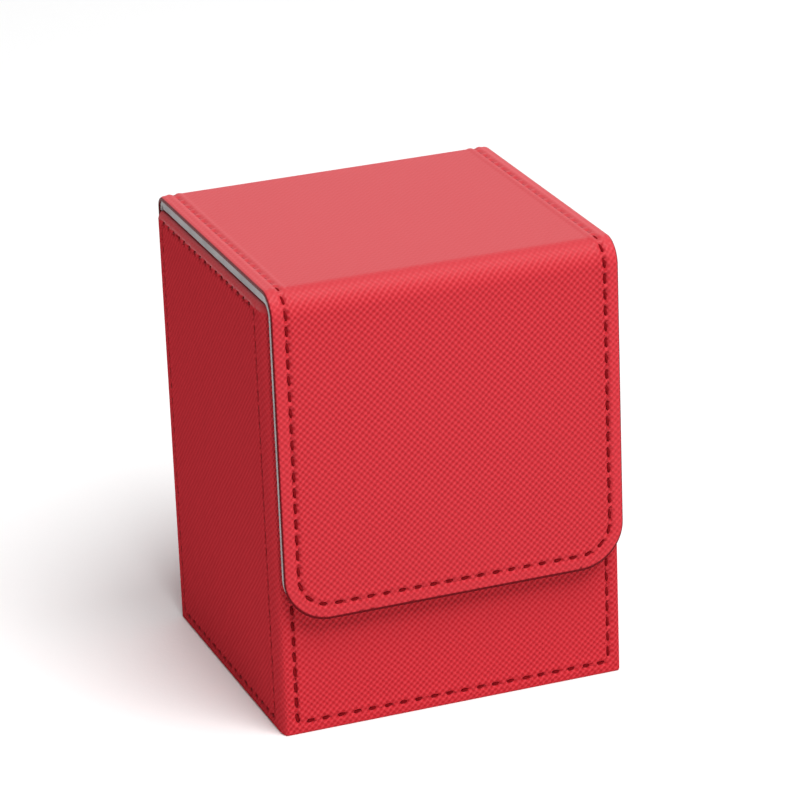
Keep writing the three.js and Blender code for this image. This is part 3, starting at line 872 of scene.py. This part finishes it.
def strip_stitches():
    front = bend_points(FRONT_AXIS, FRONT_R, FLAP_END, 0)
    rear = bend_points(REAR_AXIS, REAR_R, LID_END, 0)
    spans = {
        "flap_stitches": (0, FLAP_END, "flap", ["flap_thread"]),
        "front_hinge_stitches": (FLAP_END, LID_START, ("flap", "lid", *front),
                                 ["front_hinge_thread_left", "front_hinge_thread_right"]),
        "lid_stitches": (LID_START, LID_END, "lid", ["lid_thread_left", "lid_thread_right"]),
        "rear_hinge_stitches": (LID_END, BACK_START, ("lid", "box", *rear),
                                ["rear_hinge_thread_left", "rear_hinge_thread_right"]),
        "back_stitches": (BACK_START, FOOT, "box", ["back_thread"]),
    }
    # the lid's and the rear bend's stitches get the lighter thread with painted light, the others the
    # darker thread with painted shade
    tight = ("lid_stitches", "rear_hinge_stitches")
    for name, (first, last, body, nodes) in spans.items():
        sewn_through = name in ("flap_stitches", "lid_stitches")
        stitches(name, STRIP_SEAM, on_strip, lambda x, s, a=first, b=last: a <= s < b, body, *nodes,
                 thread=TIGHT_THREAD_PAINTED_LIGHT if name in tight else THREAD_PAINTED_SHADE,
                 lift=TIGHT_LIFT if name in tight else THREAD_LIFT,
                 inner_lift=INNER_LIFT if sewn_through else None)


def tray_wrap():
    """The leatherette round the front and the sides, turned over the rim, the foot and the rear."""
    front, left, right = front_seam(), side_seam(-1), side_seam(1)
    foot, rim = wall_section()
    heights = lines(foot[-1][1], rim[0][1], WRAP_STEP,
                    beside(front.box[2], right.box[2], front.box[3], offsets=WRAP_BESIDE_SEAM))
    section = [*foot[:-1], *[(0, z) for z in heights], *rim[1:]]
    flange = [REAR_FLANGE + depth - REAR_CORNER_R for depth, z in rim
              if z == RIM_Z and REAR_CORNER_R < depth <= WALL_T - INNER_RIM_R]
    turns = [i / WRAP_ROLL_STEPS for i in range(1, WRAP_ROLL_STEPS + 1)]
    half = lines(0, FRONT_RUN, WRAP_STEP, beside(front.box[1], offsets=WRAP_BESIDE_SEAM))
    half += lines(FRONT_RUN, SIDE_START, BEND_STEP)[1:]
    half += lines(SIDE_START, REAR_TURN, WRAP_STEP,
                  beside(right.box[0], right.box[1], offsets=WRAP_BESIDE_SEAM))[1:]
    half += [REAR_TURN + (REAR_FLANGE - REAR_TURN) * turn for turn in turns] + flange
    half += [REAR_FLANGE + REAR_FLANGE_RUN]
    columns = mirrored(half)
    sheet = grid(columns, list(range(len(section))))
    layer = sheet.loops.layers.uv.new("flat")
    travelled = [0.0]
    for (d0, z0), (d1, z1) in zip(section, section[1:]):
        travelled.append(travelled[-1] + math.hypot(d1 - d0, z1 - z0))
    level = travelled[len(foot) - 1] - FOOT_R
    for face in sheet.faces:
        for loop in face.loops:
            loop[layer].uv = (loop.vert.co.x, travelled[round(loop.vert.co.y)] - level)
    spare = [face for face in sheet.faces if min(abs(v.co.x) for v in face.verts) > REAR_TURN - 1e-6
             and max(section[round(v.co.y)][0] for v in face.verts) > REAR_CORNER_R + 1e-6]
    bmesh.ops.delete(sheet, geom=spare, context="FACES")
    shaped = {}
    for vert in sheet.verts:
        t, (depth, z) = vert.co.x, section[round(vert.co.y)]
        vert.co = (*round_tray(t, depth), z)
        if depth < REAR_CORNER_R / 2:
            relief = sum(seam.relief(t, z) for seam in (front, left, right))
            depth -= relief * ease(z, FOOT_R, 2 * FOOT_R)
            shaped[vert] = Vector((*round_tray(t, depth), z))
    bmesh.ops.remove_doubles(sheet, verts=sheet.verts, dist=0.004 * MM)
    bmesh.ops.recalc_face_normals(sheet, faces=sheet.faces)
    ahead = max(sheet.faces, key=lambda face: face.calc_area() * -face.normal.y)
    if ahead.normal.y > 0:
        bmesh.ops.reverse_faces(sheet, faces=sheet.faces)
    bmesh.ops.solidify(sheet, geom=sheet.faces, thickness=WRAP_T)
    for vert, place in shaped.items():
        if vert.is_valid:
            vert.co = place
    join_blank_cells(sheet)
    piece = finish_piece("tray_wrap_leatherette", sheet, WRAP_SKIN)
    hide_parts("front_cover", "left_cover", "right_cover")
    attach(piece, "box")
    for side, name, seam in ((0, "front", front), (-1, "left", left), (1, "right", right)):
        stitches(name + "_stitches", seam, lambda t, z, n: Vector((*round_tray(t, -n), z)),
                 lambda t, z: True, "box", name + "_thread")


def block(low_corner, high_corner):
    shape = bmesh.new()
    size = high_corner - low_corner
    place = Matrix.Translation((low_corner + high_corner) / 2) @ Matrix.Diagonal((*size, 1))
    bmesh.ops.create_cube(shape, size=1, matrix=place)
    return shape


def round_off(shape, edges, radius, segments):
    bmesh.ops.bevel(shape, geom=edges, offset=radius, segments=segments, profile=0.5,
                    affect="EDGES", material=-1)


def tray_lining():
    """Suede over the floor, the sides and the front of the tray's inside, with soft corners."""
    inner_low = Vector((low("base_lining").x, low("base_lining").y, high("base_lining").z))
    inner_high = Vector((high("base_lining").x, low("back_lining").y, high("front_lining").z))
    shape = block(inner_low, inner_high)
    open_sides = [f for f in shape.faces if f.normal.z > 0.9 or f.normal.y > 0.9]
    bmesh.ops.delete(shape, geom=open_sides, context="FACES")
    inside = [edge for edge in shape.edges if not edge.is_boundary]
    round_off(shape, inside, TRAY_SKIN_R, 5)
    bmesh.ops.recalc_face_normals(shape, faces=shape.faces)
    floor = max(shape.faces, key=lambda face: abs(face.normal.z) * face.calc_area())
    if floor.normal.z > 0:
        bmesh.ops.reverse_faces(shape, faces=shape.faces)
    bmesh.ops.solidify(shape, geom=shape.faces, thickness=-TRAY_SKIN_T)
    piece = finish_piece("tray_lining_suede", shape, SUEDE)
    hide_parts("front_lining", "left_lining", "right_lining", "base_lining")
    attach(piece, "box")


def back_lining():
    """Suede up the inside of the back board and over its top."""
    first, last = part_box("back_lining")
    bend_z = last.z - BACK_TOP_R
    path = [Vector((first.x, first.y, bend_z))]
    for turn in (QUARTER * i / 6 for i in range(1, 7)):
        y = first.y + BACK_TOP_R * (1 - math.cos(turn))
        path.append(Vector((first.x, y, bend_z + BACK_TOP_R * math.sin(turn))))
    path.append(Vector((first.x, last.y - 0.25 * MM, last.z)))
    shape = bmesh.new()
    end = shape.verts.new(first)
    for point in path:
        end = bmesh.ops.extrude_vert_indiv(shape, verts=[end])["verts"][0]
        end.co = point
    made = bmesh.ops.extrude_edge_only(shape, edges=shape.edges)["geom"]
    bmesh.ops.translate(shape, vec=(last.x - first.x, 0, 0),
                        verts=[v for v in made if isinstance(v, bmesh.types.BMVert)])
    bmesh.ops.recalc_face_normals(shape, faces=shape.faces)
    tall = max(shape.faces, key=lambda face: face.calc_area())
    if tall.normal.y > 0:
        bmesh.ops.reverse_faces(shape, faces=shape.faces)
    bmesh.ops.solidify(shape, geom=shape.faces, thickness=SKIN_T)
    piece = finish_piece("back_lining_suede", shape, SUEDE)
    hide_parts("back_lining")
    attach(piece, "box")


def rear_hinge_lining():
    """Suede inside the rear bend. It thins out from the lid's liner to the single skin of the
    back."""
    half = high("rear_hinge_lining").x
    outer, inner = -LINER_OUT, -(LINER_OUT + SKIN_T)
    shape = bmesh.new()
    section = [(-half, outer), (half, outer), (half, inner), (-half, inner)]
    verts = [shape.verts.new((x, LID_END, n)) for x, n in section]
    face = shape.faces.new(verts)
    rows = lines(LID_END, BACK_START + FLAT_RUN, BEND_STEP, [BACK_START])
    last_face = face
    for before, after in zip(rows, rows[1:]):
        made = bmesh.ops.extrude_face_region(shape, geom=[last_face])["geom"]
        new_face = [g for g in made if isinstance(g, bmesh.types.BMFace)][0]
        bmesh.ops.translate(shape, vec=(0, after - before, 0), verts=new_face.verts)
        if last_face is not face:
            bmesh.ops.delete(shape, geom=[last_face], context="FACES_ONLY")
        last_face = new_face
    keep_flat_places(shape)
    thinned = LID_END + 0.55 * REAR_R * QUARTER
    for vert in shape.verts:
        if vert.co.z < (outer + inner) / 2:
            vert.co.z -= LID_END_EXTRA * (1 - ease(vert.co.y, LID_END, thinned))
    piece = finish_piece("rear_hinge_lining_suede", bend_strip(shape), SUEDE)
    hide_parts("rear_hinge_lining")
    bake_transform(piece)


def base_cover():
    """The leatherette sheet glued under the base, with soft edges."""
    shape = block(*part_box("base_cover"))
    round_off(shape, shape.edges, 0.25 * MM, 4)
    keep_flat_places(shape)
    piece = finish_piece("base_cover_leatherette", shape, WRAP_SKIN)
    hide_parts("base_cover")
    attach(piece, "box")


def inner_parts():
    """The boards and magnets keep their CAD shape."""
    board, plate = greyboard(), nickel_plate()
    for name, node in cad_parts.items():
        if name.endswith("_board"):
            node.data.materials.clear()
            node.data.materials.append(board)
        elif "magnet" in name:
            node.data.materials.clear()
            node.data.materials.append(plate)


# ---------------------------------------------------------------- stage, light and camera


def plain_white():
    """Matt white card."""
    material, tree = new_material("studio_card_matt")
    place = add(tree, "TexCoord").outputs["Object"]
    tooth = add(tree, "TexNoise", {"Vector": place, "Scale": 900.0, "Detail": 3.0}).outputs["Fac"]
    bump = add(tree, "Bump", {"Height": tooth, "Distance": 0.05 * MM})
    shade(tree, Base_Color=(0.96, 0.96, 0.96, 1), Roughness=0.95, Normal=bump.outputs[0])
    return material


def stage():
    floor = bmesh.new()
    bmesh.ops.create_grid(floor, x_segments=4, y_segments=4, size=4)
    mesh = bpy.data.meshes.new("studio_floor")
    floor.to_mesh(mesh)
    floor.free()
    mesh.materials.append(plain_white())
    piece = bpy.data.objects.new("studio_floor", mesh)
    bpy.context.scene.collection.objects.link(piece)


def softbox(name, place, target, width, height, power):
    light = bpy.data.lights.new(name, "AREA")
    light.shape = "RECTANGLE"
    light.size, light.size_y, light.energy = width, height, power
    lamp = bpy.data.objects.new(name, light)
    lamp.location = place
    lamp.rotation_euler = (Vector(target) - Vector(place)).to_track_quat("-Z", "Y").to_euler()
    bpy.context.scene.collection.objects.link(lamp)


def lights():
    """A wide softbox high up in front and a low one behind, in a dim white room."""
    world = bpy.data.worlds.new("studio")
    world.use_nodes = True
    world.node_tree.nodes["Background"].inputs["Color"].default_value = (1, 1, 1, 1)
    world.node_tree.nodes["Background"].inputs["Strength"].default_value = 0.18
    bpy.context.scene.world = world
    middle = (0, 0, 0.05)
    softbox("overhead", (0.28, -1.06, 2.0), middle, 1.6, 1.6, 67)
    softbox("behind", (0.7, 1.9, 0.8), middle, 2.6, 1.4, 13)


def camera():
    """A long lens in front of the box, a little to its left and above it."""
    azimuth, elevation, roll = (math.radians(a) for a in (-20.16, 21.25, -2.289))
    right = Vector((math.cos(azimuth), math.sin(azimuth), 0))
    back = Vector((math.sin(azimuth) * math.cos(elevation),
                   -math.cos(azimuth) * math.cos(elevation), math.sin(elevation)))
    up = back.cross(right)
    level, turned = Matrix((right, up, back)).transposed(), Matrix.Rotation(roll, 3, "Z")
    data = bpy.data.cameras.new("camera")
    data.sensor_width, data.lens = 36, 187.97
    viewer = bpy.data.objects.new("camera", data)
    viewer.matrix_world = Matrix.Translation((-0.2881, -0.7911, 0.3854)) @ (level @ turned).to_4x4()
    bpy.context.scene.collection.objects.link(viewer)
    bpy.context.scene.camera = viewer


camera()
stage()
lights()
strip_pieces()
liner_pieces()
strip_stitches()
tray_wrap()
tray_lining()
back_lining()
rear_hinge_lining()
base_cover()
inner_parts()
bpy.context.scene.view_settings.view_transform = "Standard"
